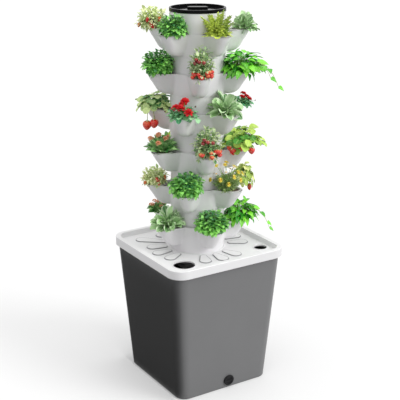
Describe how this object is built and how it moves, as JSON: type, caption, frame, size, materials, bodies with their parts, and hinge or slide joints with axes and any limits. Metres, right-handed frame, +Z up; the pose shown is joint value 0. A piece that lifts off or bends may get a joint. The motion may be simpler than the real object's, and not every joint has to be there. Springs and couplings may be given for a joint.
{
  "type": "hydroponic tower",
  "caption": "Free-standing hydroponic tower: tapered square water tank with lid, stacked tiers of leaning cups holding crops, a dished black cover, and a pump feeding a central riser.",
  "frame": {"origin": "centre of the tank's underside, on the floor", "axes": "+Z up along the tower, -Y towards the face with the drain plug"},
  "size_m": [0.38, 0.38, 1.103],
  "materials": {
    "tank_grey": "satin moulded plastic",
    "shell_white": "satin moulded plastic",
    "cover_black": "polished",
    "rubber_black": "soft matte",
    "pot_white": "satin moulded plastic",
    "sponge_brown": "open-cell foam",
    "foliage": "leaves, flowers and fruit",
    "pipe_white": "extruded pipe",
    "pump_black": "moulded",
    "magnet_grey": "sintered ferrite",
    "shaft_steel": "ground"
  },
  "bodies": {
    "tank": {"water_tank": "tank_grey", "riser_lower": "pipe_white", "riser_upper": "pipe_white", "riser_coupling": "pipe_white", "riser_cap": "pipe_white", "pump_housing": "pump_black", "pump_intake_cover": "pump_black", "impeller_shaft": "shaft_steel", "pump_feet": "rubber_black", "outlet_adapter": "pump_black", "pump_cable_gland": "rubber_black"},
    "drain": {"drain_plug": "rubber_black", "drain_seal": "rubber_black"},
    "impeller": {"pump_impeller": "pipe_white", "rotor_magnet": "magnet_grey"},
    "lid": {"tank_lid": "shell_white"},
    "tier_1": {"tier_1": "shell_white", "net_pots_1": "pot_white", "grow_sponges_1": "sponge_brown", "plants_1": "foliage", "drip_disc_1": "pipe_white"},
    "tier_2": {"tier_2": "shell_white", "net_pots_2": "pot_white", "grow_sponges_2": "sponge_brown", "plants_2": "foliage", "drip_disc_2": "pipe_white"},
    "tier_3": {"tier_3": "shell_white", "net_pots_3": "pot_white", "grow_sponges_3": "sponge_brown", "plants_3": "foliage", "drip_disc_3": "pipe_white"},
    "tier_4": {"tier_4": "shell_white", "net_pots_4": "pot_white", "grow_sponges_4": "sponge_brown", "plants_4": "foliage", "drip_disc_4": "pipe_white"},
    "tier_5": {"tier_5": "shell_white", "net_pots_5": "pot_white", "grow_sponges_5": "sponge_brown", "plants_5": "foliage", "drip_disc_5": "pipe_white"},
    "tier_6": {"tier_6": "shell_white", "net_pots_6": "pot_white", "grow_sponges_6": "sponge_brown", "plants_6": "foliage", "drip_disc_6": "pipe_white"},
    "collar": {"top_collar": "shell_white", "distributor_tray": "pipe_white"},
    "cover": {"top_cover": "cover_black"}
  },
  "joints": [
    {"name": "drain_pull", "type": "slide", "parent": "tank", "child": "drain", "axis": [0, -0.9974, -0.072], "range_m": [0, 0.03]},
    {"name": "impeller_spin", "type": "hinge", "parent": "tank", "child": "impeller", "pos_m": [0, 0, 0.034], "axis": [0, -1, 0], "continuous": true},
    {"name": "lid_lift", "type": "slide", "parent": "tank", "child": "lid", "axis": [0, 0, 1], "range_m": [0, 0.25]},
    {"name": "tower_turn", "type": "hinge", "parent": "lid", "child": "tier_1", "pos_m": [0, 0, 0.4], "axis": [0, 0, 1], "continuous": true},
    {"name": "tier_2_lift", "type": "slide", "parent": "tier_1", "child": "tier_2", "axis": [0, 0, 1], "range_m": [0, 0.12]},
    {"name": "tier_3_lift", "type": "slide", "parent": "tier_2", "child": "tier_3", "axis": [0, 0, 1], "range_m": [0, 0.12]},
    {"name": "tier_4_lift", "type": "slide", "parent": "tier_3", "child": "tier_4", "axis": [0, 0, 1], "range_m": [0, 0.12]},
    {"name": "tier_5_lift", "type": "slide", "parent": "tier_4", "child": "tier_5", "axis": [0, 0, 1], "range_m": [0, 0.12]},
    {"name": "tier_6_lift", "type": "slide", "parent": "tier_5", "child": "tier_6", "axis": [0, 0, 1], "range_m": [0, 0.12]},
    {"name": "collar_lift", "type": "slide", "parent": "tier_6", "child": "collar", "axis": [0, 0, 1], "range_m": [0, 0.12]},
    {"name": "cover_lift", "type": "slide", "parent": "collar", "child": "cover", "axis": [0, 0, 1], "range_m": [0, 0.1]}
  ]
}
